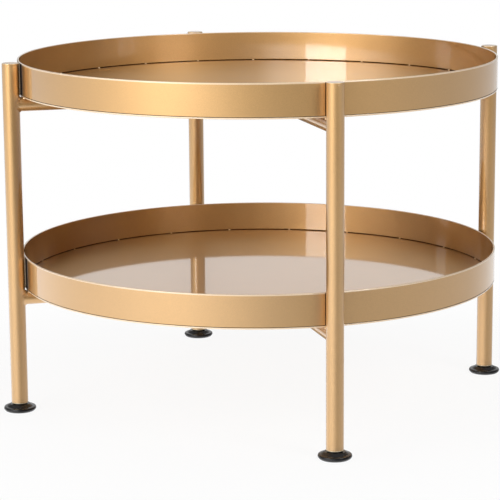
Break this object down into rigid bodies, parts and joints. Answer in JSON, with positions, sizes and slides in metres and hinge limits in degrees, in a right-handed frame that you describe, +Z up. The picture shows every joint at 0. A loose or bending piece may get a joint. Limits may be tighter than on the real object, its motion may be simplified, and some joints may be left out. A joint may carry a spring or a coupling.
{
  "type": "coffee table",
  "caption": "Low round table of rimmed metal trays in tiers, held on crossed bars between round tube legs, each leg on a screw-in levelling foot.",
  "frame": {"origin": "on the ground under the middle of the table", "axes": "+Z up; the legs stand on the axes, front on -Y, right on +X, rear on +Y and left on -X"},
  "size_m": [0.6102, 0.6102, 0.4],
  "materials": {
    "gold_paint": "satin metallic gold coat",
    "weld_gold": "weld metal under the same gold coat",
    "foot_black": "glossy black moulding",
    "zinc_steel": "zinc-plated"
  },
  "bodies": {
    "table": {"front_leg": "gold_paint", "front_leg_cap": "gold_paint", "front_leg_insert": "gold_paint", "right_leg": "gold_paint", "right_leg_cap": "gold_paint", "right_leg_insert": "gold_paint", "rear_leg": "gold_paint", "rear_leg_cap": "gold_paint", "rear_leg_insert": "gold_paint", "left_leg": "gold_paint", "left_leg_cap": "gold_paint", "left_leg_insert": "gold_paint", "upper_tray_rim": "gold_paint", "upper_tray_floor": "gold_paint", "upper_tray_spots": "weld_gold", "lower_tray_rim": "gold_paint", "lower_tray_floor": "gold_paint", "lower_tray_spots": "weld_gold", "upper_long_bar": "gold_paint", "upper_front_bar": "gold_paint", "upper_rear_bar": "gold_paint", "upper_bar_spots": "weld_gold", "lower_long_bar": "gold_paint", "lower_front_bar": "gold_paint", "lower_rear_bar": "gold_paint", "lower_bar_spots": "weld_gold", "front_leg_welds": "weld_gold", "right_leg_welds": "weld_gold", "rear_leg_welds": "weld_gold", "left_leg_welds": "weld_gold"},
    "front_stud": {"front_foot_stud": "zinc_steel"},
    "front_foot": {"front_foot": "foot_black"},
    "right_stud": {"right_foot_stud": "zinc_steel"},
    "right_foot": {"right_foot": "foot_black"},
    "rear_stud": {"rear_foot_stud": "zinc_steel"},
    "rear_foot": {"rear_foot": "foot_black"},
    "left_stud": {"left_foot_stud": "zinc_steel"},
    "left_foot": {"left_foot": "foot_black"}
  },
  "joints": [
    {"name": "front_foot_lift", "type": "slide", "parent": "table", "child": "front_stud", "axis": [0, 0, -1], "range_m": [0, 0.01]},
    {"name": "front_foot_turn", "type": "hinge", "parent": "front_stud", "child": "front_foot", "pos_m": [0, -0.2866, 0], "axis": [0, 0, -1], "range_deg": [0, 2880]},
    {"name": "right_foot_lift", "type": "slide", "parent": "table", "child": "right_stud", "axis": [0, 0, -1], "range_m": [0, 0.01]},
    {"name": "right_foot_turn", "type": "hinge", "parent": "right_stud", "child": "right_foot", "pos_m": [0.2866, 0, 0], "axis": [0, 0, -1], "range_deg": [0, 2880]},
    {"name": "rear_foot_lift", "type": "slide", "parent": "table", "child": "rear_stud", "axis": [0, 0, -1], "range_m": [0, 0.01]},
    {"name": "rear_foot_turn", "type": "hinge", "parent": "rear_stud", "child": "rear_foot", "pos_m": [0, 0.2866, 0], "axis": [0, 0, -1], "range_deg": [0, 2880]},
    {"name": "left_foot_lift", "type": "slide", "parent": "table", "child": "left_stud", "axis": [0, 0, -1], "range_m": [0, 0.01]},
    {"name": "left_foot_turn", "type": "hinge", "parent": "left_stud", "child": "left_foot", "pos_m": [-0.2866, 0, 0], "axis": [0, 0, -1], "range_deg": [0, 2880]}
  ],
  "couplings": [
    {"joint": "front_foot_turn", "follows": "front_foot_lift", "rad_per_m": 5026.5},
    {"joint": "right_foot_turn", "follows": "right_foot_lift", "rad_per_m": 5026.5},
    {"joint": "rear_foot_turn", "follows": "rear_foot_lift", "rad_per_m": 5026.5},
    {"joint": "left_foot_turn", "follows": "left_foot_lift", "rad_per_m": 5026.5}
  ]
}
